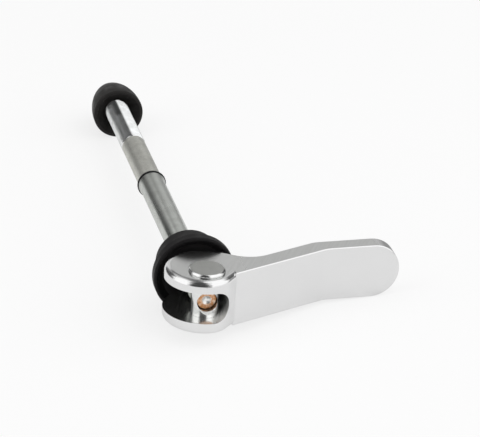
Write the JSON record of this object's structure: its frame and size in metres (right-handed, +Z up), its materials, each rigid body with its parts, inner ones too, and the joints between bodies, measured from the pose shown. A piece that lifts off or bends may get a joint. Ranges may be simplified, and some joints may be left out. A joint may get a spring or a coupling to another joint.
{
  "type": "quick release skewer",
  "caption": "Quick release skewer: a forked cam lever on a cross barrel pulls a stepped steel shaft, and clamps between a sliding black cup and a crowned end nut.",
  "frame": {"origin": "centre of the cup's clamping face, on the shaft's axis, with the lever closed", "axes": "+Y along the shaft from the lever to the nut, +Z up along the barrel that the lever turns on, +X the way the closed lever points"},
  "size_m": [0.074, 0.1639, 0.0244],
  "materials": {
    "shaft_steel": "turned, with a matt middle and a bright rolled thread at the far end",
    "barrel_steel": "polished",
    "ring_rubber": "smooth rubber",
    "lever_aluminium": "polished, with fine brush lines on top",
    "cup_plastic": "satin moulded plastic",
    "nut_plastic": "satin moulded plastic",
    "insert_steel": "plain zinc plated"
  },
  "bodies": {
    "skewer": {"shaft": "shaft_steel", "pivot_barrel": "barrel_steel", "o_ring": "ring_rubber"},
    "lever": {"lever": "lever_aluminium"},
    "cup": {"cam_cup": "cup_plastic"},
    "nut": {"nut_cap": "nut_plastic", "nut_insert": "insert_steel"}
  },
  "joints": [
    {"name": "lever_hinge", "type": "hinge", "parent": "skewer", "child": "lever", "pos_m": [0, -0.0258, 0], "axis": [0, 0, -1], "range_deg": [0, 180]},
    {"name": "cup_slide", "type": "slide", "parent": "skewer", "child": "cup", "axis": [0, -1, 0], "range_m": [0, 0.0032]},
    {"name": "nut_turn", "type": "hinge", "parent": "skewer", "child": "nut", "pos_m": [0, 0.1138, 0], "axis": [0, 1, 0], "continuous": true}
  ],
  "couplings": [
    {"joint": "cup_slide", "follows": "lever_hinge", "m_per_rad": 0.001}
  ]
}
